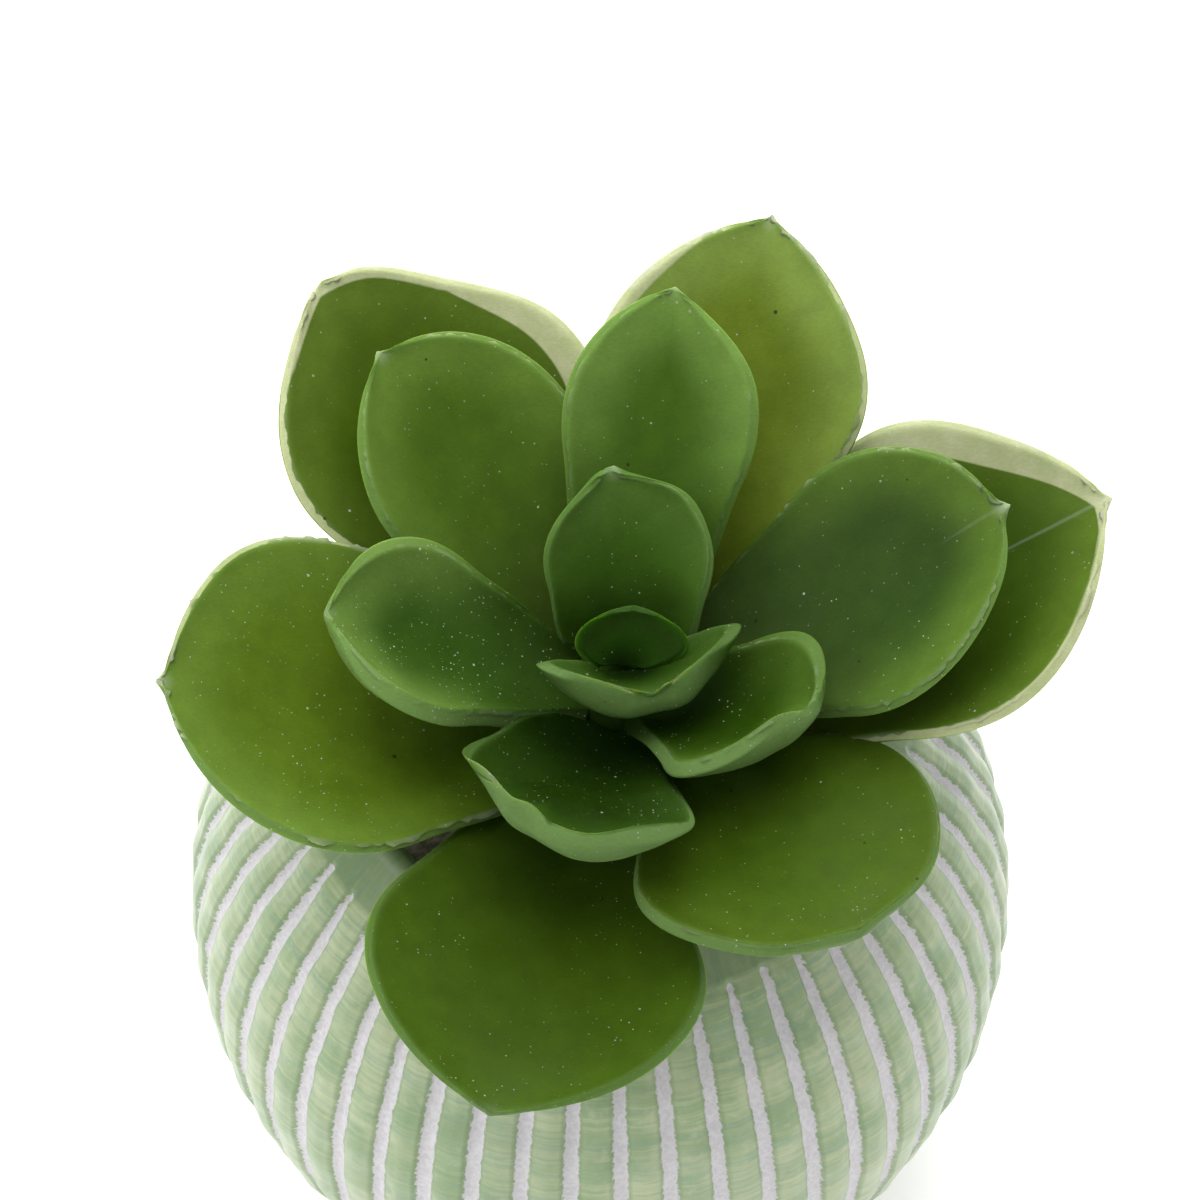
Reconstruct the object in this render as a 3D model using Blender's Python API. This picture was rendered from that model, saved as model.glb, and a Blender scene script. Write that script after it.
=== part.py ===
"""Potted moulded succulent: a ribbed round pot, the fill in it, a short stem and fifteen separate leaves.

The pot stands on the origin with +Z up, and its front faces -Y. Everything is in metres.
"""

from math import cos, pi, radians, sin, sqrt
from typing import NamedTuple

import bmesh
import bpy
from mathutils import Matrix, Vector

MM = 0.001
GAP = 0.3 * MM  # between pieces that touch

# Pot
POT_HEIGHT = 79 * MM
POT_RADIUS = 45 * MM
WIDEST_HEIGHT = 42 * MM
FOOT_RADIUS = 29 * MM
FOOT_CHAMFER = 1 * MM
MOUTH_RADIUS = 25.4 * MM
WALL = 3.4 * MM
FLOOR = 5 * MM
LOWER_ROUNDNESS = 1.94  # exponent of the curve below the widest ring; 2 is an ellipse
UPPER_ROUNDNESS = 2.0
LIP_START = 50  # degrees up the lip's round where the shoulder runs into it

# Grooves down the outside of the pot
GROOVES = 52
GROOVE_WIDTH = 2.2 * MM  # at the widest ring; it narrows with the ring
GROOVE_DEPTH = 0.6 * MM
GROOVE_SLOPE = 0.25  # share of the half width that each side takes
GROOVE_PHASE = -87.1  # heading of one groove, in degrees
GROOVE_END = 1.4 * MM  # length over which a groove runs out
GROOVE_FOOT = 3 * MM
GROOVE_SHOULDER = 4.2 * MM  # from the top of the lip down to the grooves

# Fill
FILL_DROP = 6 * MM  # below the lip

# Stem
CROWN_OFFSET = Vector((2 * MM, -1 * MM, 0))
STEM_RADIUS = 5.2 * MM
STEM_TIP_RADIUS = 3.2 * MM
STEM_TIP = 4.7 * MM  # height of the narrow tip, which carries the inner leaves
STEM_TAPER = 1.7 * MM
STEM_DEPTH = 18 * MM  # below the top of the fill
STEM_SIDES = 32

# Leaves: each is a cupped blade that grows out of the stem
LEAF_BODY = 3.4 * MM  # thickness along the middle
LEAF_RIM = 2.2 * MM
BASE_WIDTH = 4.4 * MM
TIP_SHARE = 0.03  # of the leaf's width, left at the tip
TIP_TAPER = 0.12  # share of the length over which the tip thins
STATIONS = 13
ACROSS = 7


class Leaf(NamedTuple):
    """Lengths in millimetres, angles in degrees. Heading 0 is +X and 90 is +Y."""

    length: float
    width: float
    heading: float  # of the base
    lift: float  # of the base above its layer
    tilt: float  # up from level, at the base
    curl: float  # added to the tilt by the tip
    cup: float  # half the angle that the section bends through
    roll: float = 0  # raises the left side
    sweep: float = 0  # turn to the left by the tip
    widest: float = 0.62  # share of the length
    waist: float = 1.8  # above 1, the lower part stays narrow for longer
    point: float = 0.68  # below 1, the tip is blunter


OUTER_LEAVES = {
    "back_left": Leaf(50, 32, 116.5, -3.8, 18, 14, 28, -6, 30, widest=0.64, waist=1.7, point=0.7),
    "back": Leaf(48, 27, 69, -0.1, 21, 12, 26, -1, 4, point=0.75),
    "right": Leaf(49, 34, 12.5, -2.4, 13, 14.5, 30, 2, 10, point=0.72),
    "front_right": Leaf(36, 31, -51, 1.8, 3, 17, 20, -8, -8, waist=2.1, point=0.62),
    "front": Leaf(45, 33, -104.5, -0.8, 1, 9, 24, -3, waist=2),
    "left": Leaf(43, 34, -167, -0.2, 11, 17, 24, -4, -12, widest=0.58, waist=1.4, point=0.62),
}
MIDDLE_LEAVES = {
    "back_left": Leaf(38, 23, 121.5, -2.2, 29, 8, 28, -4, 23, point=0.62),
    "back": Leaf(35.5, 18.5, 79, 1.4, 39, 5, 28, point=0.72),
    "right": Leaf(39.5, 26, 13, -1.3, 22, 12, 26, 2, 4, waist=1.9, point=0.7),
    "front_right": Leaf(19.5, 16.5, -33, 2.2, 20, 20, 45, -3, waist=1.3, point=0.6),
    "front": Leaf(28.2, 22, -104.5, -0.45, 27, 22, 40, -10, widest=0.68, waist=1.5, point=0.5),
    "left": Leaf(28, 18.5, -178, 1.2, 26, 15, 42, point=0.62),
}
INNER_LEAVES = {
    "back": Leaf(17.5, 14.6, 82, 0.6, 54, 5, 40, 0, 14, widest=0.5, waist=1, point=0.7),
    "front": Leaf(7.6, 18.2, -70, 4, 36, 4, 50, -6, widest=0.55, waist=0.9, point=0.4),
}
HEART_LEAF = Leaf(7, 10.4, 86, 0, 60, 6, 25, widest=0.5, waist=0.9, point=0.55)
INNER_BASE_WIDTH = 9 * MM
HEART_BASE_WIDTH = 4 * MM
HEART_BODY = 1.8 * MM
HEART_RIM = 1.4 * MM
HEART_REACH = -3 * MM  # from the stem's axis to the heart leaf's base, which stands on the stem's top

# Colours
GLAZE = (0.33, 0.46, 0.25)
FILL_GREY = (0.15, 0.14, 0.11)
STEM_GREEN = (0.06, 0.1, 0.02)
LEAF_GREEN = (0.07, 0.13, 0.012)
HEART_GREEN = (0.03, 0.08, 0.005)


def clear_scene():
    for thing in list(bpy.data.objects):
        bpy.data.objects.remove(thing)


def plain_material(name, colour, roughness):
    material = bpy.data.materials.new(name)
    material.use_nodes = True
    shader = material.node_tree.nodes["Principled BSDF"]
    shader.inputs["Base Color"].default_value = (*colour, 1)
    shader.inputs["Roughness"].default_value = roughness
    return material


def add_object(name, shape, material, sharp_angle):
    """Makes an object of a bmesh, with its faces turned outward and shaded smooth up to an angle."""
    bmesh.ops.recalc_face_normals(shape, faces=shape.faces)
    mesh = bpy.data.meshes.new(name)
    shape.to_mesh(mesh)
    shape.free()
    mesh.shade_smooth()
    mesh.set_sharp_from_angle(angle=radians(sharp_angle))
    thing = bpy.data.objects.new(name, mesh)
    thing.data.materials.append(material)
    bpy.context.scene.collection.objects.link(thing)
    return thing


def bridge_rings(shape, first, second):
    """Joins two closed rings. The first may have a whole number of times the points of the second."""
    times = len(first) // len(second)
    for place in range(len(second)):
        after = (place + 1) % len(second)
        fan = [first[(place * times + step) % len(first)] for step in range(times + 1)]
        if times == 1:
            shape.faces.new((fan[0], fan[1], second[after], second[place]))
            continue
        middle = times // 2
        for step in range(times):
            near = second[place] if step < middle else second[after]
            shape.faces.new((fan[step], fan[step + 1], near))
        shape.faces.new((fan[middle], second[after], second[place]))


def turned_ring(shape, point, sides, phase=0.0):
    """A ring through (radius, height), whose first point has the heading phase, in radians."""
    radius, height = point
    turns = (phase + 2 * pi * side / sides for side in range(sides))
    return [shape.verts.new((radius * cos(turn), radius * sin(turn), height)) for turn in turns]


def turn_profile(shape, profile, sides, phase=0.0):
    """Turns (radius, height) points about Z and closes both ends."""
    rings = [turned_ring(shape, point, sides, phase) for point in profile]
    for lower, upper in zip(rings, rings[1:]):
        bridge_rings(shape, lower, upper)
    shape.faces.new(rings[0])
    shape.faces.new(rings[-1])


def round_curve(share, end_radius, roundness):
    """Radius at a share of the way from the widest ring to the ring where the radius is end_radius."""
    reach = (1 - (end_radius / POT_RADIUS) ** roundness) ** (1 / roundness)
    return POT_RADIUS * (1 - (share * reach) ** roundness) ** (1 / roundness)


def lip_point(angle):
    """A point on the lip's round, as radius and height; 0 is its outer side and 180 its inner side."""
    half = WALL / 2
    turn = radians(angle)
    return MOUTH_RADIUS + half + half * cos(turn), POT_HEIGHT - half + half * sin(turn)


def outer_radius(height):
    if height < WIDEST_HEIGHT:
        return round_curve(1 - height / WIDEST_HEIGHT, FOOT_RADIUS, LOWER_ROUNDNESS)
    end_radius, end_height = lip_point(LIP_START)
    share = (height - WIDEST_HEIGHT) / (end_height - WIDEST_HEIGHT)
    return round_curve(share, end_radius, UPPER_ROUNDNESS)


def inner_point(height, inset):
    """The point that lies inset inside the pot's outer curve, square to it."""
    step = 0.01 * MM
    slope = (outer_radius(height + step) - outer_radius(height - step)) / (2 * step)
    length = sqrt(1 + slope * slope)
    return outer_radius(height) - inset / length, height + inset * slope / length


def spread(low, high, count):
    return [low + (high - low) * step / count for step in range(count + 1)]


def hollow_profile(clearance):
    """The pot's inside from the floor up to the lip, or the shape that fills it with a clearance."""
    heights = spread(FLOOR + WALL, lip_point(LIP_START)[1], 6)
    side = [inner_point(height, WALL + clearance) for height in heights]
    return [(side[0][0] - WALL, FLOOR + clearance), *side]


def groove_start():
    """Heading of one edge of the first groove, in radians."""
    return radians(GROOVE_PHASE) - GROOVE_WIDTH / POT_RADIUS / 2


def groove_ring(shape, height, depth):
    """One ring of the ribbed outside: two points on each groove's floor and two on the rib beside it."""
    radius = outer_radius(height)
    pitch = 2 * pi / GROOVES
    half = GROOVE_WIDTH / POT_RADIUS / 2
    floor_half = half * (1 - GROOVE_SLOPE)
    offsets = ((-half, 0), (-floor_half, depth), (floor_half, depth), (half, 0))
    ring = []
    for groove in range(GROOVES):
        middle = radians(GROOVE_PHASE) + groove * pitch
        for offset, sunk in offsets:
            turn = middle + offset
            reach = radius - sunk
            ring.append(shape.verts.new((reach * cos(turn), reach * sin(turn), height)))
    return ring


def make_pot(material):
    shape = bmesh.new()
    groove_top = POT_HEIGHT - GROOVE_SHOULDER
    lower = spread(GROOVE_FOOT + GROOVE_END, WIDEST_HEIGHT, 4)
    upper = spread(WIDEST_HEIGHT, groove_top - GROOVE_END, 4)[1:]
    outside = [groove_ring(shape, GROOVE_FOOT, 0)]
    outside += [groove_ring(shape, height, GROOVE_DEPTH) for height in lower + upper]
    outside.append(groove_ring(shape, groove_top, 0))
    for below, above in zip(outside, outside[1:]):
        bridge_rings(shape, below, above)

    foot = [(outer_radius(FOOT_CHAMFER), FOOT_CHAMFER), (FOOT_RADIUS - FOOT_CHAMFER, 0)]
    foot_rings = [turned_ring(shape, point, GROOVES, groove_start()) for point in foot]
    bridge_rings(shape, outside[0], foot_rings[0])
    bridge_rings(shape, foot_rings[0], foot_rings[1])
    shape.faces.new(foot_rings[1])

    inside = [lip_point(angle) for angle in spread(LIP_START, 180, 4)]
    inside += hollow_profile(0)[::-1]
    inner_rings = [turned_ring(shape, point, GROOVES, groove_start()) for point in inside]
    bridge_rings(shape, outside[-1], inner_rings[0])
    for above, below in zip(inner_rings, inner_rings[1:]):
        bridge_rings(shape, above, below)
    shape.faces.new(inner_rings[-1])
    add_object("pot", shape, material, 30)


def fill_top():
    return POT_HEIGHT - FILL_DROP


def make_fill(material):
    """The fill follows the pot's inside and has a blind hole for the stem."""
    shape = bmesh.new()
    top = fill_top()
    hollow = hollow_profile(GAP)
    profile = [point for point in hollow if point[1] < top]
    below, above = profile[-1], hollow[len(profile)]
    share = (top - below[1]) / (above[1] - below[1])
    profile.append((below[0] + share * (above[0] - below[0]), top))
    turn_profile(shape, profile, GROOVES, groove_start())
    fill = add_object("fill", shape, material, 30)

    hole = bmesh.new()
    hole_radius = STEM_RADIUS + GAP
    hole_bottom = fill_top() - STEM_DEPTH - GAP
    turn_profile(hole, [(hole_radius, hole_bottom), (hole_radius, POT_HEIGHT)], STEM_SIDES)
    bmesh.ops.translate(hole, verts=hole.verts, vec=CROWN_OFFSET)
    cutter = add_object("stem_hole", hole, material, 30)
    cutter.hide_render = True
    cutter.display_type = "WIRE"
    cut = fill.modifiers.new("stem_hole", "BOOLEAN")
    cut.operation = "DIFFERENCE"
    cut.solver = "EXACT"
    cut.object = cutter


def layer_height(layer):
    return POT_HEIGHT + layer * LEAF_BODY


def crown_height():
    """Top of the stem: four layers of leaf bases above the pot's lip."""
    return layer_height(4)


def make_stem(material):
    shape = bmesh.new()
    top = crown_height()
    profile = [
        (STEM_RADIUS, fill_top() - STEM_DEPTH),
        (STEM_RADIUS, top - STEM_TIP - STEM_TAPER),
        (STEM_TIP_RADIUS, top - STEM_TIP),
        (STEM_TIP_RADIUS, top),
    ]
    turn_profile(shape, profile, STEM_SIDES)
    bmesh.ops.translate(shape, verts=shape.verts, vec=CROWN_OFFSET)
    add_object("stem", shape, material, 40)


def blade_share(leaf, along, base_share):
    """The blade's width at a share of its length, as a share of the leaf's greatest width."""
    if along <= leaf.widest:
        rise = sin(pi / 2 * along / leaf.widest) ** leaf.waist
        return base_share + (1 - base_share) * rise
    beyond = (along - leaf.widest) / (1 - leaf.widest)
    return max((1 - min(beyond, 1) ** 2.1) ** leaf.point, TIP_SHARE)


def spine_frame(leaf, along):
    """Forward, left and up directions of the blade at a share of its length."""
    slope = radians(leaf.tilt + leaf.curl * along)
    bend = radians(leaf.sweep * along)
    forward = Vector((cos(slope) * cos(bend), cos(slope) * sin(bend), sin(slope)))
    level_left = Vector((-sin(bend), cos(bend), 0))
    level_up = forward.cross(level_left)
    roll = radians(leaf.roll)
    left = level_left * cos(roll) + level_up * sin(roll)
    return forward, left, forward.cross(left)


def blade_ring(shape, leaf, along, spine, base_share, body, rim):
    """The section of the blade: its upper side from right to left, then its lower side back."""
    _, left, up = spine_frame(leaf, along)
    half = leaf.width * MM / 2 * blade_share(leaf, along, base_share)
    cup = radians(leaf.cup)
    thinning = 0.55 + 0.45 * sqrt(min(1, (1 - along) / TIP_TAPER))
    above, below = [], []
    for step in range(ACROSS):
        even = 2 * step / (ACROSS - 1) - 1
        across = 0.65 * even + 0.35 * sin(even * pi / 2)
        turn = cup * across
        side = left * sin(turn) + up * (1 - cos(turn))
        outward = up * cos(turn) - left * sin(turn)
        point = spine + side * (half / sin(cup))
        thickness = (rim + (body - rim) * (1 - across * across)) * thinning
        above.append(shape.verts.new(point))
        below.append(shape.verts.new(point - outward * thickness))
    return above + below[::-1]


def make_leaf(name, leaf, layer, reach, base_width, material, body=LEAF_BODY, rim=LEAF_RIM):
    """A closed blade whose base faces the stem's axis at a distance of reach."""
    shape = bmesh.new()
    base_share = base_width / (leaf.width * MM)
    stations = [sin(pi / 2 * step / (STATIONS - 1)) ** 1.25 for step in range(STATIONS)]
    spine = Vector((reach, 0, layer_height(layer) + leaf.lift * MM))
    rings = [blade_ring(shape, leaf, 0, spine, base_share, body, rim)]
    for before, along in zip(stations, stations[1:]):
        forward = spine_frame(leaf, (before + along) / 2)[0]
        spine = spine + forward * (leaf.length * MM * (along - before))
        rings.append(blade_ring(shape, leaf, along, spine, base_share, body, rim))
    for nearer, farther in zip(rings, rings[1:]):
        bridge_rings(shape, nearer, farther)
    for end in (rings[0], rings[-1]):
        for step in range(ACROSS - 1):
            under = 2 * ACROSS - 1 - step
            shape.faces.new((end[step], end[step + 1], end[under - 1], end[under]))
    bmesh.ops.rotate(shape, verts=shape.verts, matrix=Matrix.Rotation(radians(leaf.heading), 3, "Z"))
    bmesh.ops.translate(shape, verts=shape.verts, vec=CROWN_OFFSET)
    bmesh.ops.triangulate(shape, faces=shape.faces)
    add_object(name, shape, material, 45)


def make_leaves():
    reach = STEM_RADIUS + GAP
    for layer, whorl, leaves in ((1, "outer", OUTER_LEAVES), (2, "middle", MIDDLE_LEAVES)):
        for place, leaf in leaves.items():
            material = plain_material(f"{whorl}_{place}_green", LEAF_GREEN, 0.42)
            make_leaf(f"{whorl}_leaf_{place}", leaf, layer, reach, BASE_WIDTH, material)
    inner_reach = STEM_TIP_RADIUS + GAP
    for place, leaf in INNER_LEAVES.items():
        material = plain_material(f"inner_{place}_green", HEART_GREEN, 0.42)
        make_leaf(f"inner_leaf_{place}", leaf, 3.1, inner_reach, INNER_BASE_WIDTH, material)
    material = plain_material("heart_green", HEART_GREEN, 0.42)
    make_leaf("heart_leaf", HEART_LEAF, 4.42, HEART_REACH, HEART_BASE_WIDTH, material, HEART_BODY, HEART_RIM)


def main():
    clear_scene()
    make_pot(plain_material("glaze", GLAZE, 0.35))
    make_fill(plain_material("fill_grey", FILL_GREY, 0.9))
    make_stem(plain_material("stem_green", STEM_GREEN, 0.5))
    make_leaves()


main()
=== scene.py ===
import math
from collections import namedtuple

import bmesh
import bpy
import numpy as np
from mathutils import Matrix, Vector, noise
from mathutils.kdtree import KDTree


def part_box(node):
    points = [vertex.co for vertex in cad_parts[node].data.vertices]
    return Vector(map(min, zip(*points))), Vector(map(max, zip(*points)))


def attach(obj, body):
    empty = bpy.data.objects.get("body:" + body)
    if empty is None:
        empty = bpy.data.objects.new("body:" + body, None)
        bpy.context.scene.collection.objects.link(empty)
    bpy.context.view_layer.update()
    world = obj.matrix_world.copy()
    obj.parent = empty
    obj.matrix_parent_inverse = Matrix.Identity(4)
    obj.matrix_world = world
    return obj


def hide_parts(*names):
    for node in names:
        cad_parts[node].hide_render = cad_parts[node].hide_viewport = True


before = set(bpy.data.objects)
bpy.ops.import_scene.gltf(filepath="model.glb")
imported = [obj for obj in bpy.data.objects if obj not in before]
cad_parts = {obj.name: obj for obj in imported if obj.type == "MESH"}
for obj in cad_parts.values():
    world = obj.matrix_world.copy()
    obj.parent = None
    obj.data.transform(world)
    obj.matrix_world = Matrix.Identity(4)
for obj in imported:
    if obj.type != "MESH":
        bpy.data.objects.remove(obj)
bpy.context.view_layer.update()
MM = 0.001

# Camera and studio
LOOK_HEIGHT = 100 * MM
DISTANCE = 450 * MM
ELEVATION = math.radians(57)
LENS = 135
SENSOR = 36
NEAR_CLIP = 10 * MM
FLOOR_REACH = 4  # from the middle of the floor to each side
ROOM_LIGHT = 0.55
Light = namedtuple("Light", "name heading elevation distance size power")
LIGHTS = (
    Light("top", 90, 80, 1.1, 0.9, 8),
    Light("back", 95, 35, 1.0, 0.7, 6),
    Light("left", 190, 40, 1.0, 0.6, 3),
)

# Leaves
WELD = 0.01 * MM
SHARP = math.radians(38)  # a bend between faces that marks the edge of the rim
SKEWED = math.radians(70)  # most that a quad's corners may be off square
EDGE_CREASE = 0.68
LEAF_LEVELS = 3
BASE_POINTS = 40  # the points nearest the stem, whose middle is taken as the leaf's base
MIDDLE_SHARE = 0.55  # of the way from the base to the tip
BEND_REACH = 0.85  # how far in from the rim a bend fades out, as a share of the deepest point
FLASH = 0.75 * MM  # most that the mould's flash stands out from the rim
NUB = 0.9 * MM  # the pointed nub at a leaf's tip
NUB_REACH = 1.5 * MM
NUB_CHALK = 0.5  # how pale the nub is
FLASH_CHALK = 0.45
BASE_SHARE = 0.55  # share of a leaf's length over which its base spreads
BASE_SPREAD = 0.5
ROOT_DEPTH = 2.5 * MM  # how far a leaf's base runs in to the stem
THINNING = 1.4 * MM  # taken from under the rim
THINNING_REACH = 7 * MM
WAVINESS = 0.1 * MM
RIPPLE = 0.015 * MM
GLOW_INSET = 0.1 * MM
SEAM_FADE = 5 * MM  # added to the distance from the mould line where it shouldn't show

# Pot
GROOVES = 52
GROOVE_PHASE = math.radians(-87.1)
GROOVE_WIDTH = 1.65 * MM
GROOVE_DEPTH = 0.6 * MM
GROOVE_SIDE = 0.45 * MM  # width over which a groove's side slopes
GROOVE_TOP = 4.2 * MM  # below the top of the lip
GROOVE_BOTTOM = 3 * MM
TOP_SCATTER = (-0.7, 0.5)  # in mm, from one groove to the next
WIDTH_SCATTER = (0.92, 1.08)
TOP_WIDTH = 0.62  # share of the width that is left at a groove's top
TAPER_REACH = 7 * MM
EDGE_REACH = 0.6 * MM  # how near a groove's edge a point is made ragged
RAGGED = 0.14 * MM
RIB_CROWN = 0.28 * MM
RIB_SLOPE = 1.6 * MM  # from a groove's edge to where its rib is fully crowned
CROWN_FADE = 3 * MM  # below the grooves' tops
FOOT_FADE = (1 * MM, 4 * MM)  # heights between which the crown grows
HAND_WAVE = 0.1 * MM  # unevenness of the turned wall
HAND_SIZE = 12 * MM
HAND_STRIDE = 7  # it is worked out at every seventh point only
FLOW_RADIUS = 45 * MM  # of the cylinder that the glaze's strokes are laid out on
NO_GROOVE = 5 * MM  # distance from a groove that is given to the inside
COLUMNS = 14  # for each groove and rib
ROW = 0.6 * MM

# Fill and stem
FILL_CELL = 0.8 * MM
GRAIN = 0.45 * MM
STEM_CREASE = 0.7
STEM_LEVELS = 2
STEM_WAVE = 0.08 * MM


def linear(red, green, blue):
    """An sRGB colour out of 255 as Blender's linear one."""
    def decode(value):
        value /= 255
        return value / 12.92 if value <= 0.04045 else ((value + 0.055) / 1.055) ** 2.4
    return (decode(red), decode(green), decode(blue), 1)


class Shader:
    """A material whose nodes are added one call at a time, with Principled at the end."""

    def __init__(self, name):
        self.material = bpy.data.materials.new(name)
        self.material.use_nodes = True
        self.tree = self.material.node_tree
        self.surface = self.tree.nodes["Principled BSDF"]

    def add(self, kind, inputs, **settings):
        made = self.tree.nodes.new(kind)
        for key, value in settings.items():
            setattr(made, key, value)
        self.fill(made, inputs)
        return made

    def fill(self, made, inputs):
        for key, value in inputs.items():
            if isinstance(value, bpy.types.NodeSocket):
                self.tree.links.new(value, made.inputs[key])
            else:
                made.inputs[key].default_value = value

    def principled(self, **inputs):
        self.fill(self.surface, {key.replace("_", " "): value for key, value in inputs.items()})

    def number(self, name):
        return self.add("ShaderNodeAttribute", {}, attribute_name=name).outputs["Fac"]

    def vector(self, name):
        return self.add("ShaderNodeAttribute", {}, attribute_name=name).outputs["Vector"]

    def place(self):
        return self.add("ShaderNodeTexCoord", {}).outputs["Object"]

    def math(self, operation, first, second=0.0):
        return self.add("ShaderNodeMath", {0: first, 1: second}, operation=operation).outputs[0]

    def step(self, value, low, high, least=0.0, most=1.0):
        inputs = {"Value": value, "From Min": low, "From Max": high, "To Min": least, "To Max": most}
        return self.add("ShaderNodeMapRange", inputs, interpolation_type="SMOOTHSTEP").outputs["Result"]

    def mix(self, factor, first, second, blend="MIX"):
        inputs = {"Factor": factor, 6: first, 7: second}
        return self.add("ShaderNodeMix", inputs, data_type="RGBA", blend_type=blend).outputs[2]

    def noise(self, where, size, detail=3, roughness=0.5, distortion=0.0):
        """Noise whose largest features are about size metres across."""
        inputs = {"Vector": where, "Scale": 1 / size, "Detail": detail, "Roughness": roughness,
                  "Distortion": distortion}
        return self.add("ShaderNodeTexNoise", inputs).outputs[0]

    def stretched(self, where, along, across, up):
        """where scaled by three factors."""
        return self.add("ShaderNodeMapping", {"Vector": where, "Scale": (along, across, up)}).outputs[0]

    def specks(self, where, spacing, radius, share):
        """Small dots, in a share of the cells of a grid of this spacing."""
        cells = self.add("ShaderNodeTexVoronoi", {"Vector": where, "Scale": 1 / spacing})
        chance = self.add("ShaderNodeSeparateColor", {0: cells.outputs["Color"]})
        size = self.math("MULTIPLY", chance.outputs[1], radius / spacing)
        dot = self.math("LESS_THAN", cells.outputs["Distance"], size)
        return self.math("MULTIPLY", dot, self.math("LESS_THAN", chance.outputs[0], share))

    def grey(self, value):
        return self.add("ShaderNodeCombineColor", {0: value, 1: value, 2: value}).outputs[0]

    def bump(self, height, strength, distance):
        inputs = {"Height": height, "Strength": strength, "Distance": distance}
        self.principled(Normal=self.add("ShaderNodeBump", inputs).outputs[0])


def link(name, mesh):
    piece = bpy.data.objects.new(name, mesh)
    bpy.context.scene.collection.objects.link(piece)
    return piece


def finish_piece(piece, material, slot, *nodes):
    piece.data.materials.clear()
    piece.data.materials.append(material)
    piece.data.shade_smooth()
    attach(piece, "root")
    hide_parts(*nodes)


def write_number(mesh, name, values):
    attribute = mesh.attributes.get(name) or mesh.attributes.new(name, "FLOAT", "POINT")
    attribute.data.foreach_set("value", np.asarray(values, np.float32))


def read_number(mesh, name):
    values = np.empty(len(mesh.vertices), np.float32)
    mesh.attributes[name].data.foreach_get("value", values)
    return values


def points_of(mesh):
    points = np.empty(len(mesh.vertices) * 3)
    mesh.vertices.foreach_get("co", points)
    return points.reshape(-1, 3)


def normals_of(mesh):
    normals = np.empty(len(mesh.vertices) * 3)
    mesh.vertex_normals.foreach_get("vector", normals)
    return normals.reshape(-1, 3)


def noise_at(points, size, seed):
    """Smooth noise from about -1 to 1 at each point, with features about size across."""
    shift = Vector((seed * 17.3, seed * 5.1, seed * 9.7))
    return np.array([noise.noise(Vector(point) / size + shift) for point in points])


def welded_shape(node):
    """A copy of a CAD node's mesh with its split points joined."""
    shape = bmesh.new()
    shape.from_mesh(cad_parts[node].data)
    bmesh.ops.remove_doubles(shape, verts=shape.verts, dist=WELD)
    return shape


def quad_shape(node):
    """A welded copy of a CAD node's mesh with its triangles paired into quads."""
    shape = welded_shape(node)
    bmesh.ops.join_triangles(
        shape, faces=shape.faces, angle_face_threshold=SHARP, angle_shape_threshold=SKEWED
    )
    return shape


def crease_sharp_edges(shape, amount):
    crease = shape.edges.layers.float.new("crease_edge")
    for edge in shape.edges:
        edge[crease] = amount if edge.calc_face_angle(0) > SHARP else 0


def refined(name, shape, levels):
    """A new piece from a bmesh, smoothed by subdivision."""
    mesh = bpy.data.meshes.new(name)
    shape.to_mesh(mesh)
    shape.free()
    piece = link(name, mesh)
    piece.modifiers.new("refine", "SUBSURF").levels = levels
    bpy.context.view_layer.update()
    graph = bpy.context.evaluated_depsgraph_get()
    fine = bpy.data.meshes.new_from_object(piece.evaluated_get(graph), depsgraph=graph)
    piece.modifiers.clear()
    piece.data = fine
    fine.name = name
    return piece


def smooth_regions(shape):
    """The faces in groups that no sharp bend parts."""
    left = set(shape.faces)
    regions = []
    while left:
        region = [left.pop()]
        for face in region:
            for edge in face.edges:
                if edge.calc_face_angle(0) < SHARP:
                    near = [other for other in edge.link_faces if other in left]
                    left.difference_update(near)
                    region.extend(near)
        regions.append(region)
    return regions


def upward(region):
    return sum(face.normal.z * face.calc_area() for face in region)


def mark_upper_side(shape):
    """Writes 1 on the points of the leaf's upper side and 0 on the rest."""
    upper = shape.verts.layers.float.new("upper")
    for face in max(smooth_regions(shape), key=upward):
        for vert in face.verts:
            vert[upper] = 1


# Painted backlight: light shining through the thin rim, drawn as a pale band widest at its heading.
Glow = namedtuple("Glow", "heading width low")  # a pale band inside the rim, widest at its heading
# Colours out of 255 near the stem, over the leaf and at its rim, then the share of each effect.
# The colour near the stem is darker as painted shade where the leaves crowd; the rim colour is
# lighter as painted light through the thin edge. side and pale are the shares of painted light
# on the rim walls and of the painted backlight bands.
LeafLook = namedtuple(
    "LeafLook", "base body edge flash nub dust thin side seam pale glows", defaults=(0, 0, ())
)
# The rim colour is partly the vinyl's pale flange and partly painted light through the thin rim.
RIM_FLANGE_AND_GLOW = linear(108, 138, 78)
# The next two are painted backlight shining through the rims.
BACKLIGHT_PALE = linear(176, 182, 138)
BACKLIGHT_CREAM = linear(192, 194, 156)
CHALK = linear(200, 204, 190)
SPECK = linear(24, 40, 8)

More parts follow.
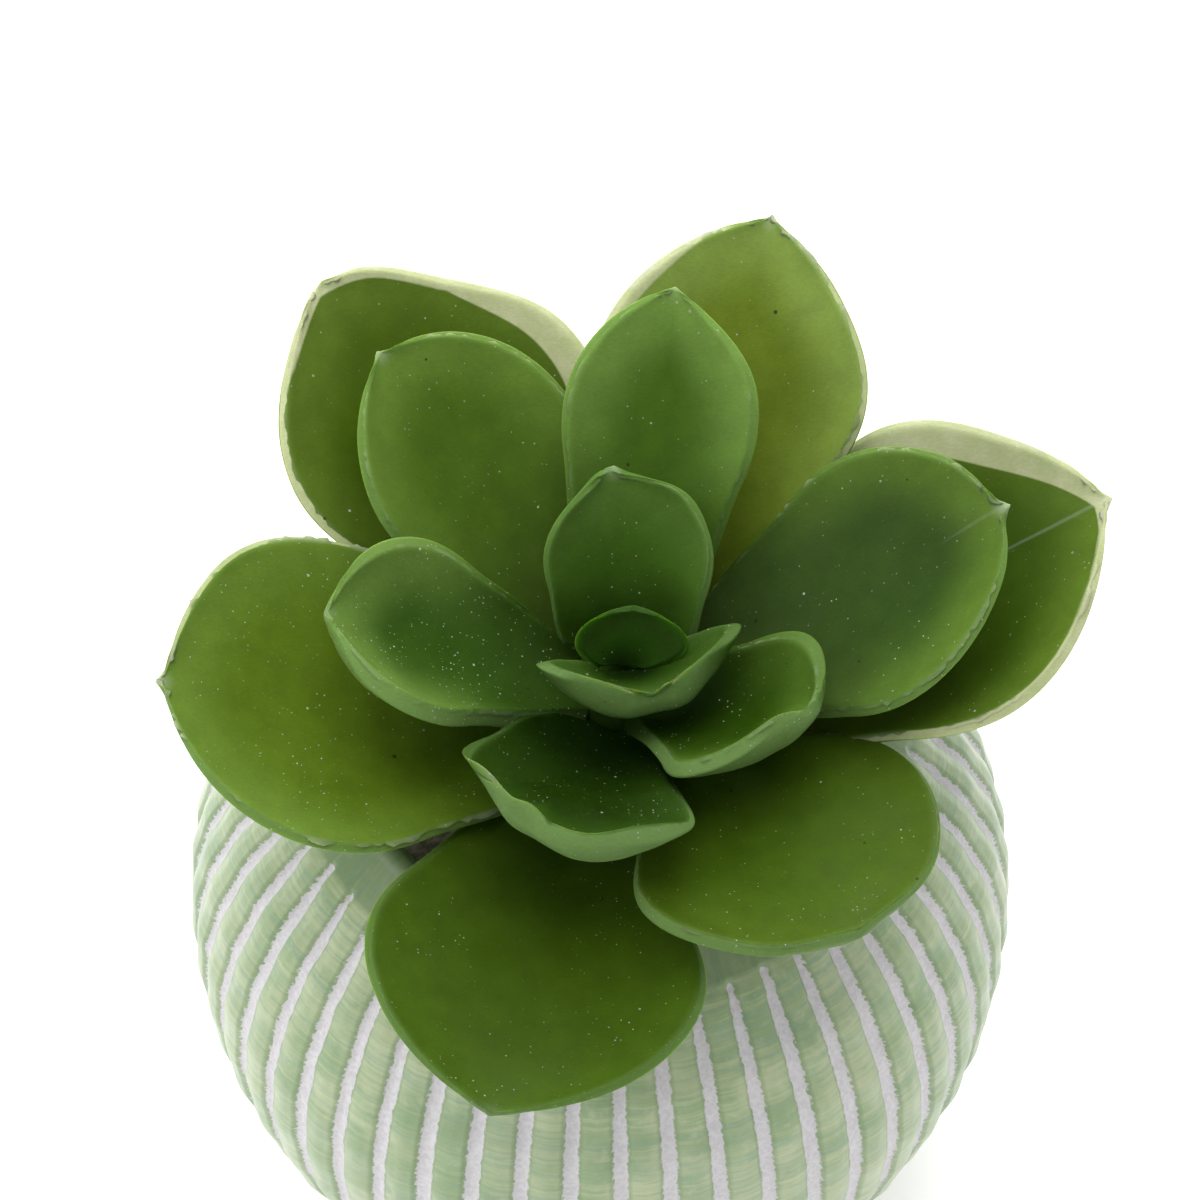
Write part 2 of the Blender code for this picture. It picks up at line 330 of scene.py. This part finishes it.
LEAF_LOOKS = {
    "outer_leaf_back_left": LeafLook(
        (58, 80, 16), (66, 90, 10), (90, 114, 36), 0.6, 0.3, 0.3, 0.8, 0.4, 0,
        1, (Glow(25, 3.1, 0.1), Glow(100, 1.1, -0.1), Glow(170, 0.45, -0.6))),
    "outer_leaf_back": LeafLook(
        (58, 76, 10), (94, 113, 26), (122, 146, 66), 1, 0.8, 0.3, 0.8, 0.4, 0,
        0.9, (Glow(150, 1.3, 0.2), Glow(10, 0.3, -0.4))),
    # Its colour near the stem is lighter than its body: a painted highlight low on the leaf, where it lies
    # in shade.
    "outer_leaf_right": LeafLook(
        (84, 108, 20), (52, 78, 0), (84, 110, 32), 0.8, 0.8, 0.5, 0.8, 0.4, 0.4,
        0.85, (Glow(85, 3.3, -0.1), Glow(-20, 0.7, -0.6))),
    "outer_leaf_front_right": LeafLook((34, 56, 4), (64, 90, 12), (70, 94, 18), 0.5, 0, 0.7, 0.5, 0.65),
    "outer_leaf_front": LeafLook((20, 42, 4), (58, 82, 8), (64, 90, 16), 0.2, 0.2, 0.8, 0.9, 0.3),
    "outer_leaf_left": LeafLook(
        (46, 70, 8), (78, 102, 16), (96, 124, 42), 1, 0.8, 1.3, 0.9, 0.4, 0, 0.6, (Glow(130, 0.5, 0.1),)),
    "middle_leaf_back_left": LeafLook((54, 74, 20), (68, 96, 20), (96, 126, 46), 0.6, 0.6, 0.5, 0.9, 0.4),
    "middle_leaf_back": LeafLook((50, 78, 16), (64, 94, 22), (108, 140, 62), 0.5, 0.4, 0.3, 0.9, 0.2),
    "middle_leaf_right": LeafLook((44, 64, 20), (46, 70, 20), (84, 112, 38), 0.7, 0.9, 0.6, 0.9, 0.3, 0.2),
    "middle_leaf_front_right": LeafLook((20, 42, 2), (34, 60, 0), (70, 98, 30), 0.6, 0, 0.9, 0.2, 0.7),
    "middle_leaf_front": LeafLook((16, 36, 2), (26, 48, 2), (44, 72, 14), 0.2, 0, 1, 0, 0.75),
    "middle_leaf_left": LeafLook((40, 64, 14), (48, 78, 16), (98, 128, 54), 0.5, 0.3, 2.2, 0.2, 0.5),
    "inner_leaf_back": LeafLook((28, 52, 6), (62, 96, 24), (80, 112, 42), 0.4, 0.5, 0.6, 1, 0.3),
    "inner_leaf_front": LeafLook((16, 34, 4), (34, 60, 6), (54, 82, 24), 0, 0, 0.9, 0.2, 0.5),
    "heart_leaf": LeafLook((12, 30, 2), (38, 74, 10), (40, 66, 16), 0, 0, 0.3, 0.8, 0),
}

# How a leaf's rim is bent, in mm, round a heading from the leaf's middle and over a
# spread of degrees to each side. The last value is 1 where only the upper side moves and -1
# where only the underside does.
Nudge = namedtuple("Nudge", "heading spread move only", defaults=(0,))
LEAF_NUDGES = {
    "outer_leaf_back_left": (
        Nudge(125, 35, (0.2, 0.7, 0.6)), Nudge(190, 65, (-0.8, 0, 0)),
        Nudge(85, 35, (0.2, -1.2, -0.9)), Nudge(35, 45, (1.2, 0.4, 0.3))),
    "outer_leaf_back": (Nudge(50, 40, (-0.3, -0.1, 0)), Nudge(-10, 45, (1.2, 0, 0))),
    "outer_leaf_right": (
        Nudge(115, 60, (0, 0.8, 0.5)), Nudge(30, 30, (0.7, 0.1, 0.1)), Nudge(-20, 45, (-0.6, 0.2, 0))),
    "outer_leaf_front_right": (
        Nudge(45, 60, (0.3, 2.6, 0.3)), Nudge(-50, 45, (-0.3, 1.5, 0)), Nudge(-150, 50, (-0.8, 0, 0))),
    "outer_leaf_front": (Nudge(20, 45, (-0.9, 0, 0)), Nudge(160, 50, (-0.4, -0.4, 0))),
    "outer_leaf_left": (Nudge(130, 60, (-1.2, 1.3, 0.1)), Nudge(75, 30, (0, 0.7, 0))),
    "middle_leaf_back": (Nudge(60, 45, (-0.8, -0.2, 0)),),
    "middle_leaf_right": (Nudge(-85, 65, (0, -1.7, -0.4)), Nudge(20, 35, (-0.9, 0, 0))),
    "middle_leaf_front_right": (
        Nudge(-55, 70, (-0.5, 2.2, 0.3)), Nudge(-120, 45, (-1, -0.5, 0)), Nudge(-150, 40, (-0.4, -1.2, 0))),
    "middle_leaf_front": (
        Nudge(165, 55, (-0.4, -2.6, -0.8)), Nudge(-112, 25, (0, 0.9, 0)), Nudge(-75, 25, (0, -0.6, 0)),
        Nudge(-15, 25, (0, -0.8, 0)), Nudge(190, 50, (0.7, 0.6, 0.3), -1),
        Nudge(-150, 45, (0, -0.8, -0.2), 1), Nudge(-20, 30, (0.5, -0.4, 0), 1)),
    "inner_leaf_back": (
        Nudge(90, 80, (-1.8, 0, 0)), Nudge(35, 40, (0.8, 0, 0)),
        Nudge(180, 80, (-0.9, 0, 0), 1), Nudge(0, 80, (0.8, 0, 0), 1)),
    "inner_leaf_front": (Nudge(-90, 70, (0, 1, 0.4), -1),),
}
# How far a leaf's tip is shifted, in mm, with its base left in place.
LEAF_SHIFTS = {"heart_leaf": (1.4, 0, 0), "middle_leaf_left": (0, -1, -0.1)}


def leaf_material(name, look):
    shader = Shader(name)
    base, body, edge_light_colour = linear(*look.base), linear(*look.body), linear(*look.edge)
    where = shader.place()
    upper = shader.number("upper")
    along = shader.number("along")
    rim = shader.number("rim")
    cloud = shader.math("SUBTRACT", shader.noise(where, 12 * MM, 2), 0.5)
    fine_cloud = shader.math("SUBTRACT", shader.noise(where, 3 * MM, 3), 0.5)
    # Painted shade: the colour darkens toward the stem where the leaves crowd. Painted light: it lightens
    # toward the rim and the tip, as light through the thin leaf.
    reach = shader.math("ADD", along, shader.math("MULTIPLY", cloud, 0.25))
    colour = shader.mix(shader.step(reach, 0.12, 0.62), base, body)
    inset = shader.math("ADD", rim, shader.math("MULTIPLY", cloud, 3 * MM))
    outward = shader.step(along, 0.3, 0.85)
    edge = shader.math("MULTIPLY", shader.step(inset, 8 * MM, 0.3 * MM), outward)
    colour = shader.mix(edge, colour, edge_light_colour)
    shade = shader.step(fine_cloud, -0.3, 0.35, 0.9, 1.1)
    colour = shader.mix(1.0, colour, shader.grey(shade), "MULTIPLY")
    # Painted light: the band just inside the rim and the rim walls that face the front take the rim colour,
    # partly the vinyl's pale flange, partly light through the thin edge.
    near = shader.step(rim, 0.9 * MM, 0, 0, min(0.25, look.side))
    colour = shader.mix(shader.math("MULTIPLY", near, outward), colour, RIM_FLANGE_AND_GLOW)
    side = shader.math("MULTIPLY", shader.step(upper, 0.97, 0.75, 0, look.side), shader.number("front"))
    colour = shader.mix(shader.math("MULTIPLY", side, shader.step(along, 0, 0.3)), colour, RIM_FLANGE_AND_GLOW)
    # Painted backlight: pale bands inside the rim where light shines through it.
    backlit = shader.math("SUBTRACT", shader.number("backlight_band_width"), rim)
    backlight_veil = shader.mix(shader.step(fine_cloud, -0.2, 0.3), BACKLIGHT_PALE, BACKLIGHT_CREAM)
    colour = shader.mix(shader.step(backlit, 0, 0.25 * MM, 0, look.pale), colour, backlight_veil)
    seam = shader.math("MULTIPLY", shader.step(shader.number("seam"), 0.32 * MM, 0.08 * MM), 0.3 * look.seam)
    colour = shader.mix(seam, colour, CHALK)
    colour = shader.mix(shader.number("flash"), colour, CHALK)
    patch = shader.step(shader.noise(where, 8 * MM, 3), 0.35, 0.68, 0.1, 1)
    fine = shader.specks(where, 0.4 * MM, 0.085 * MM, 0.3 * look.dust)
    coarse = shader.specks(where, 1.3 * MM, 0.17 * MM, 0.25 * look.dust)
    dust = shader.math("MULTIPLY", shader.math("MAXIMUM", fine, coarse), patch)
    colour = shader.mix(shader.math("MULTIPLY", dust, 0.7), colour, CHALK)
    dark = shader.math("MULTIPLY", shader.specks(where, 2.6 * MM, 0.25 * MM, 0.2), 0.8)
    colour = shader.mix(dark, colour, SPECK)
    fibre = shader.noise(shader.stretched(where, 1, 3, 1), 0.5 * MM, 3, 0.7)
    colour = shader.mix(1.0, colour, shader.grey(shader.step(fibre, 0.3, 0.7, 0.93, 1.06)), "MULTIPLY")
    grain = shader.math("ADD", fibre, shader.math("MULTIPLY", dust, 1.5))
    shader.bump(grain, 0.3, 0.05 * MM)
    rough = shader.step(shader.noise(where, 6 * MM, 3), 0.3, 0.7, 0.42, 0.56)
    shader.principled(
        Base_Color=colour, Roughness=rough, IOR=1.45, Specular_IOR_Level=0.09,
        Subsurface_Weight=0.3, Subsurface_Radius=(0.7, 1.0, 0.25), Subsurface_Scale=1.8 * MM,
    )
    return shader.material


def across_axis(points, outward):
    """The direction in which a leaf is widest, square to the line from its base to its tip."""
    flat = points - points.mean(0)
    flat = flat - (flat @ outward)[:, None] * outward
    widths, directions = np.linalg.eigh(flat.T @ flat)
    return directions[:, int(np.argmax(widths))]


def smooth_step(values, low, high):
    share = np.clip((np.asarray(values) - low) / (high - low), 0, 1)
    return share * share * (3 - 2 * share)


def distances_to(points, targets):
    tree = KDTree(len(targets))
    for index, target in enumerate(targets):
        tree.insert(target, index)
    tree.balance()
    return np.array([tree.find(point)[2] for point in points])


def bend(node, spread, along, rim, upper):
    """How far each point of a leaf moves for its nudges and its shift."""
    moved = np.outer(along, LEAF_SHIFTS.get(node, (0, 0, 0)))
    headings = np.degrees(np.arctan2(spread[:, 1], spread[:, 0]))
    outer = (1 - smooth_step(rim, 0, BEND_REACH * rim.max())) * smooth_step(along, 0.1, 0.45)
    for nudge in LEAF_NUDGES.get(node, ()):
        turned = np.abs((headings - nudge.heading + 180) % 360 - 180)
        side = (np.ones(len(upper)), upper, 1 - upper)[nudge.only]
        moved += np.outer(side * outer * (1 - smooth_step(turned, 0, nudge.spread)), nudge.move)
    return moved * MM


def make_leaf(node, seed):
    """A fine leaf with a rounded rim, the mould's ragged flash and a nub at its tip."""
    look = LEAF_LOOKS[node]
    shape = quad_shape(node)
    mark_upper_side(shape)
    crease_sharp_edges(shape, EDGE_CREASE)
    piece = refined(node.replace("_leaf", ""), shape, LEAF_LEVELS)
    mesh = piece.data
    points = points_of(mesh)
    upper = read_number(mesh, "upper")
    away = points[:, 2] if node == "heart_leaf" else np.linalg.norm(points[:, :2] - CROWN, axis=1)
    base = points[np.argsort(away)[:BASE_POINTS]].mean(0)
    tip = points[np.argmax(away + 0.3 * points[:, 2])]
    if node == "inner_leaf_front":  # wider than it is long
        tip = points[np.argmax((points - base) @ (points.mean(0) - base))]
    outward = (tip - base) / np.linalg.norm(tip - base)
    along = np.linalg.norm(points - base, axis=1) / np.linalg.norm(tip - base)
    rim = distances_to(points, points[(upper > 0.2) & (upper < 0.8)])

    sideways = across_axis(points, outward)
    top = np.cross(outward, sideways)
    top = top * np.sign(top[2])
    rooted = 1 - smooth_step(along, 0, BASE_SHARE)
    offset = (points - base) @ sideways
    if node not in ("inner_leaf_front", "heart_leaf"):
        points = points + sideways * (offset * BASE_SPREAD * rooted)[:, None]
        points = points - outward * (ROOT_DEPTH * rooted)[:, None]
    spread = points - (base + MIDDLE_SHARE * (tip - base))
    spread /= np.linalg.norm(spread, axis=1)[:, None]
    points = points + bend(node, spread, along, rim, upper)
    hidden = 1 - smooth_step(-spread[:, 1], 0.15, 0.9)
    thinned = THINNING * np.maximum(look.thin, hidden) * (1 - smooth_step(rim, 0, THINNING_REACH))
    thinned *= (1 - upper) * smooth_step(along, 0.1, 0.4)
    points = points + top * thinned[:, None]
    mesh.vertices.foreach_set("co", points.ravel())
    mesh.update()

    normals = normals_of(mesh)
    level = normals - top * (normals @ top)[:, None]
    level /= np.maximum(np.linalg.norm(level, axis=1), 0.2)[:, None]
    ridge = np.clip(1 - np.abs(upper - 0.85) / 0.2, 0, 1) * (upper < 0.99) * smooth_step(along, 0.15, 0.35)
    ragged = 0.2 + 1.6 * noise_at(points, 0.8 * MM, seed) + 1.2 * noise_at(points, 4 * MM, seed + 3)
    flash = ridge * np.clip(ragged, 0, 1) * look.flash
    tip = points[np.argmax(points @ outward)]
    nub = look.nub * np.clip(1 - np.linalg.norm(points - tip, axis=1) / NUB_REACH, 0, 1) ** 1.5
    wave = WAVINESS * noise_at(points, 9 * MM, seed + 5) + RIPPLE * noise_at(points, 2 * MM, seed + 8)
    points = points + level * (flash * FLASH)[:, None] + normals * wave[:, None]
    points = points + outward * (nub * NUB)[:, None]
    mesh.vertices.foreach_set("co", points.ravel())

    # Widths of the painted backlight bands inside the rim, widest at each band's heading.
    width = np.zeros(len(points))
    flat = spread[:, :2] / np.linalg.norm(spread[:, :2], axis=1)[:, None]
    for glow in look.glows:
        heading = math.radians(glow.heading)
        facing = flat @ (math.cos(heading), math.sin(heading))
        width = np.maximum(width, glow.width * MM * smooth_step(facing, glow.low, 0.97))
    seam = np.abs((points - tip) @ sideways) + SEAM_FADE * (1 - smooth_step(along, 0.45, 0.75))
    write_number(mesh, "along", along)
    write_number(mesh, "rim", rim)
    write_number(mesh, "backlight_band_width", width * smooth_step(along, 0.2, 0.45) - GLOW_INSET)
    # front: how far a point faces the front, for the painted light on the rim walls.
    write_number(mesh, "front", smooth_step(-spread[:, 1], -0.2, 0.5))
    write_number(mesh, "seam", seam)
    write_number(mesh, "flash", np.clip(flash * FLASH_CHALK * look.flash + nub * NUB_CHALK, 0, 1))
    finish_piece(piece, leaf_material(piece.name, look), leaf_slot(node), node)


def leaf_slot(node):
    layer = node.split("_")[0]
    return "inner_leaf" if layer == "heart" else f"{layer}_leaf"


def section(node, heading):
    """The outline of a turned CAD node in the half plane at a heading.

    Its points are (radius, height), from the middle of the foot round to the middle of the inside.
    """
    shape = welded_shape(node)
    everything = shape.verts[:] + shape.edges[:] + shape.faces[:]
    across = Vector((-math.sin(heading), math.cos(heading), 0))
    cut = bmesh.ops.bisect_plane(shape, geom=everything, plane_co=(0, 0, 0), plane_no=across)["geom_cut"]
    outward = Vector((math.cos(heading), math.sin(heading), 0))
    edges = {piece for piece in cut if isinstance(piece, bmesh.types.BMEdge)}
    here = {vert for edge in edges for vert in edge.verts if vert.co.dot(outward) > WELD}
    start = min(here, key=lambda vert: (round(vert.co.z, 5), vert.co.dot(outward)))
    path = [start]
    left = here - {start}
    while True:
        linked = [edge.other_vert(path[-1]) for edge in path[-1].link_edges if edge in edges]
        onward = [vert for vert in linked if vert in left]
        if not onward:
            break
        path.append(onward[0])
        left.discard(onward[0])
    outline = [(vert.co.dot(outward), vert.co.z) for vert in path]
    shape.free()
    return outline


def smooth_path(points, spacing):
    """Points about spacing apart on the smooth curve through these ones."""
    points = np.array(points)
    made = []
    last = len(points) - 1
    for index in range(last):
        before, start, end, after = (points[max(index - 1, 0)], points[index], points[index + 1],
                                     points[min(index + 2, last)])
        steps = max(1, round(float(np.linalg.norm(end - start)) / spacing))
        for step in range(steps):
            t = step / steps
            square = (2 * before - 5 * start + 4 * end - after) * t ** 2
            cube = (3 * start - before - 3 * end + after) * t ** 3
            made.append(0.5 * (2 * start + (end - before) * t + square + cube))
    made.append(points[-1])
    return np.array(made)


def turned_mesh(name, radii, heights, headings):
    """A quad mesh from grids of radii and heights: rows up the outline, columns round the axis."""
    rows, columns = radii.shape
    points = np.stack((radii * np.cos(headings), radii * np.sin(headings), heights), axis=-1).reshape(-1, 3)
    faces = []
    for row in range(rows - 1):
        for column in range(columns):
            other = (column + 1) % columns
            faces.append((row * columns + column, row * columns + other,
                          (row + 1) * columns + other, (row + 1) * columns + column))
    for row, turn in ((0, -1), (rows - 1, 1)):
        faces.append([row * columns + column for column in range(columns)][::turn])
    mesh = bpy.data.meshes.new(name)
    mesh.from_pydata(points.tolist(), [], faces)
    mesh.update()
    return mesh


def glaze_material():
    shader = Shader("glaze")
    where = shader.place()
    groove = shader.number("groove")
    along = shader.number("along")
    inside = shader.number("inside")
    flow = shader.vector("flow")
    ragged = shader.noise(where, 0.55 * MM, 3, 0.6)
    shift = shader.math("MULTIPLY", shader.math("SUBTRACT", ragged, 0.5), 0.95 * MM)
    bare = shader.step(shader.math("ADD", groove, shift), 0.08 * MM, -0.06 * MM)
    strokes = shader.noise(shader.stretched(flow, 60, 60, 1600), 1, 3, 0.6, 0.6)
    combed = shader.noise(shader.stretched(flow, 900, 900, 120), 1, 3, 0.6, 0.4)
    band = shader.step(along, 0, 1)
    streak = shader.mix(band, strokes, combed)
    patches = shader.noise(where, 9 * MM, 3, 0.6)
    light = linear(172, 184, 146)
    green = linear(144, 166, 122)
    blue = linear(130, 160, 134)
    colour = shader.mix(shader.step(patches, 0.35, 0.65), green, light)
    colour = shader.mix(shader.step(streak, 0.45, 0.68, 0, 0.6), colour, blue)
    colour = shader.mix(shader.step(streak, 0.48, 0.28, 0, 0.5), colour, linear(186, 194, 156))
    mottle = shader.noise(where, 2.4 * MM, 4, 0.7)
    colour = shader.mix(shader.step(mottle, 0.5, 0.72, 0, 0.5), colour, linear(186, 194, 160))
    colour = shader.mix(shader.step(mottle, 0.46, 0.28, 0, 0.4), colour, linear(122, 150, 112))
    edge = shader.math("MULTIPLY", shader.step(groove, 0.6 * MM, 0.1 * MM), 0.4)
    colour = shader.mix(edge, colour, linear(112, 140, 92))
    # Painted shade under the leaves: the shoulder band above the grooves is darkened.
    colour = shader.mix(shader.math("MULTIPLY", band, 0.5), colour, linear(92, 118, 74))
    chalk = shader.mix(shader.step(ragged, 0.3, 0.7), linear(206, 202, 206), linear(222, 220, 222))
    colour = shader.mix(bare, colour, chalk)
    # Painted shade: the inside of the pot's wall is darkened.
    colour = shader.mix(shader.math("MULTIPLY", inside, 0.5), colour, linear(96, 116, 84))
    rough = shader.step(bare, 0, 1, 0.3, 0.7)
    height = shader.math("ADD", shader.math("MULTIPLY", streak, 0.6), shader.noise(where, 0.6 * MM, 3))
    shader.bump(height, 0.25, 0.12 * MM)
    shader.principled(Base_Color=colour, Roughness=rough, IOR=1.5, Specular_IOR_Level=0.3)
    return shader.material


def make_pot():
    """The pot turned from its CAD section, with carved grooves, crowned ribs and a hand-made wall."""
    outline = smooth_path(section("pot", GROOVE_PHASE + math.pi / GROOVES), ROW)
    count = GROOVES * COLUMNS
    headings = GROOVE_PHASE + np.arange(count) * 2 * math.pi / count
    steps = np.linalg.norm(np.diff(outline, axis=0), axis=1)
    lengths = np.concatenate(([0], np.cumsum(steps)))
    radii, heights = outline[:, 0], outline[:, 1]
    widest = int(np.argmax(radii))
    lip = int(np.argmax(heights))
    top = float(np.interp(heights[lip] - GROOVE_TOP, heights[widest:lip + 1], lengths[widest:lip + 1]))
    bottom = float(np.interp(GROOVE_BOTTOM, heights[:widest], lengths[:widest]))
    rng = np.random.default_rng(7)
    tops = top + rng.uniform(*TOP_SCATTER, GROOVES) * MM
    pitch = 2 * math.pi / GROOVES
    turn = (headings - GROOVE_PHASE + pitch / 2) % pitch - pitch / 2
    which = np.round((headings - GROOVE_PHASE) / pitch).astype(int) % GROOVES
    narrowing = radii / radii[widest]
    across = np.abs(turn)[None, :] * radii[:, None]
    taper = TOP_WIDTH + (1 - TOP_WIDTH) * smooth_step(top - lengths, 0, TAPER_REACH)
    widths = rng.uniform(*WIDTH_SCATTER, GROOVES)[which][None, :]
    half = GROOVE_WIDTH / 2 * widths * (narrowing * taper)[:, None]
    beyond = np.maximum(lengths[:, None] - (tops[which][None, :] - half), (bottom + half) - lengths[:, None])
    gap = np.hypot(across, np.maximum(beyond, 0)) - half
    outside = np.arange(len(lengths)) <= lip
    gap = np.where(outside[:, None], gap, NO_GROOVE)
    spots = np.stack(np.broadcast_arrays(np.cos(headings)[None, :] * radii[:, None],
                                         np.sin(headings)[None, :] * radii[:, None],
                                         heights[:, None]), axis=-1).reshape(-1, 3)
    wobble = np.zeros(gap.size)
    close = np.flatnonzero(np.abs(gap.ravel()) < EDGE_REACH)
    wobble[close] = noise_at(spots[close], 1.1 * MM, 2)
    gap = gap + RAGGED * wobble.reshape(gap.shape)
    depth = GROOVE_DEPTH * smooth_step(0.5 - gap / GROOVE_SIDE, 0, 1)
    rib = np.clip(gap / RIB_SLOPE, 0, 1)
    ribbed = np.clip((tops.mean() - lengths) / CROWN_FADE, 0, 1) * smooth_step(heights, *FOOT_FADE)
    ribbed = ribbed[:, None] * outside[:, None]
    depth = depth - RIB_CROWN * rib * ribbed
    slope = np.gradient(outline, axis=0)
    slope /= np.linalg.norm(slope, axis=1)[:, None]
    made_radii = radii[:, None] - depth * slope[:, 1][:, None]
    made_heights = heights[:, None] + depth * slope[:, 0][:, None]
    order = np.arange(gap.size)
    hand = noise_at(spots[::HAND_STRIDE], HAND_SIZE, 4)
    hand = np.interp(order, order[::HAND_STRIDE], hand).reshape(gap.shape)
    made_radii = made_radii + HAND_WAVE * hand * outside[:, None] * (heights > 2 * MM)[:, None]
    mesh = turned_mesh("pot_glazed", made_radii, made_heights, headings[None, :])
    write_number(mesh, "groove", gap.ravel())
    band = np.clip((lengths - top + 0.5 * MM) / MM, 0, 1)
    write_number(mesh, "along", np.broadcast_to(band[:, None], gap.shape).ravel())
    write_number(mesh, "inside", np.broadcast_to(~outside[:, None], gap.shape).ravel())
    flow = np.stack(np.broadcast_arrays(np.cos(headings)[None, :] * FLOW_RADIUS,
                                        np.sin(headings)[None, :] * FLOW_RADIUS,
                                        lengths[:, None]), axis=-1)
    attribute = mesh.attributes.new("flow", "FLOAT_VECTOR", "POINT")
    attribute.data.foreach_set("vector", flow.astype(np.float32).ravel())
    piece = link("pot_glazed", mesh)
    finish_piece(piece, glaze_material(), "glazed_ceramic", "pot")


def fill_material():
    shader = Shader("fill")
    where = shader.place()
    grains = shader.noise(where, 1.6 * MM, 4, 0.65)
    colour = shader.mix(shader.step(grains, 0.35, 0.65), linear(104, 98, 86), linear(150, 142, 130))
    colour = shader.mix(shader.specks(where, 2.5 * MM, 0.8 * MM, 0.3), colour, linear(50, 46, 40))
    shader.bump(shader.noise(where, 0.7 * MM, 4, 0.6), 0.6, 0.3 * MM)
    shader.principled(Base_Color=colour, Roughness=0.9, Specular_IOR_Level=0.3)
    return shader.material


def make_fill():
    """The fill with a rough top of fine grains."""
    _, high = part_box("fill")
    shape = welded_shape("fill")
    caps = [face for face in shape.faces
            if face.normal.z > 0.9 and face.calc_center_median().z > high.z - MM]
    edges = list({edge for face in caps for edge in face.edges})
    for _ in range(5):
        long = [edge for edge in edges if edge.is_valid and edge.calc_length() > FILL_CELL * 2]
        if not long:
            break
        bmesh.ops.subdivide_edges(shape, edges=long, cuts=1, use_grid_fill=True)
        bmesh.ops.triangulate(shape, faces=[f for f in shape.faces if len(f.verts) > 3])
        edges = [edge for edge in shape.edges if all(v.co.z > high.z - WELD for v in edge.verts)]
    mesh = bpy.data.meshes.new("fill_grains")
    shape.to_mesh(mesh)
    shape.free()
    points = points_of(mesh)
    onto = points[:, 2] > high.z - WELD
    rough = GRAIN * (noise_at(points[onto], 2.2 * MM, 3) + 0.5 * noise_at(points[onto], 0.9 * MM, 6))
    points[onto, 2] += rough - GRAIN
    mesh.vertices.foreach_set("co", points.ravel())
    piece = link("fill_grains", mesh)
    finish_piece(piece, fill_material(), "fill", "fill")


def stem_material():
    shader = Shader("stem")
    where = shader.place()
    cloud = shader.noise(where, 3 * MM, 3)
    colour = shader.mix(shader.step(cloud, 0.3, 0.7), linear(20, 40, 6), linear(40, 64, 14))
    shader.bump(shader.noise(where, MM, 3), 0.4, 0.1 * MM)
    shader.principled(Base_Color=colour, Roughness=0.8, Specular_IOR_Level=0.05)
    return shader.material


def make_stem():
    shape = quad_shape("stem")
    crease_sharp_edges(shape, STEM_CREASE)
    piece = refined("stem_core", shape, STEM_LEVELS)
    points = points_of(piece.data)
    wave = STEM_WAVE * noise_at(points, 3 * MM, 1)
    points = points + normals_of(piece.data) * wave[:, None]
    piece.data.vertices.foreach_set("co", points.ravel())
    finish_piece(piece, stem_material(), "stem", "stem")


def make_floor():
    mesh = bpy.data.meshes.new("floor")
    corners = [(x * FLOOR_REACH, y * FLOOR_REACH, 0) for x, y in ((-1, -1), (1, -1), (1, 1), (-1, 1))]
    mesh.from_pydata(corners, [], [(0, 1, 2, 3)])
    floor = link("floor", mesh)
    shader = Shader("paper")
    shader.principled(
        Base_Color=(0.92, 0.92, 0.92, 1), Roughness=0.8, Specular_IOR_Level=0.1,
        Emission_Color=(1, 1, 1, 1), Emission_Strength=0.35,
    )
    mesh.materials.append(shader.material)


def add_light(name, heading, elevation, distance, size, power):
    """A square softbox aimed at the object."""
    data = bpy.data.lights.new(name, "AREA")
    data.shape = "SQUARE"
    data.size = size
    data.energy = power
    lamp = link(name, data)
    heading, elevation = math.radians(heading), math.radians(elevation)
    away = Vector((math.cos(heading) * math.cos(elevation), math.sin(heading) * math.cos(elevation),
                   math.sin(elevation)))
    lamp.location = Vector((0, 0, LOOK_HEIGHT)) + away * distance
    lamp.rotation_euler = away.to_track_quat("Z", "Y").to_euler()


def make_studio():
    scene = bpy.context.scene
    scene.view_settings.view_transform = "Standard"
    world = bpy.data.worlds.new("studio")
    world.use_nodes = True
    world.node_tree.nodes["Background"].inputs[0].default_value = (1, 1, 1, 1)
    world.node_tree.nodes["Background"].inputs[1].default_value = ROOM_LIGHT
    scene.world = world
    for light in LIGHTS:
        add_light(*light)
    camera = bpy.data.objects.new("camera", bpy.data.cameras.new("camera"))
    camera.data.lens = LENS
    camera.data.sensor_width = SENSOR
    camera.data.clip_start = NEAR_CLIP
    camera.location = (0, -DISTANCE * math.cos(ELEVATION), LOOK_HEIGHT + DISTANCE * math.sin(ELEVATION))
    camera.rotation_euler = (math.pi / 2 - ELEVATION, 0, 0)
    scene.collection.objects.link(camera)
    scene.camera = camera


stem_low, stem_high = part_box("stem")
CROWN = np.array(((stem_low.x + stem_high.x) / 2, (stem_low.y + stem_high.y) / 2))
make_studio()
make_floor()
make_pot()
make_fill()
make_stem()
for seed, node in enumerate(LEAF_LOOKS):
    make_leaf(node, seed)
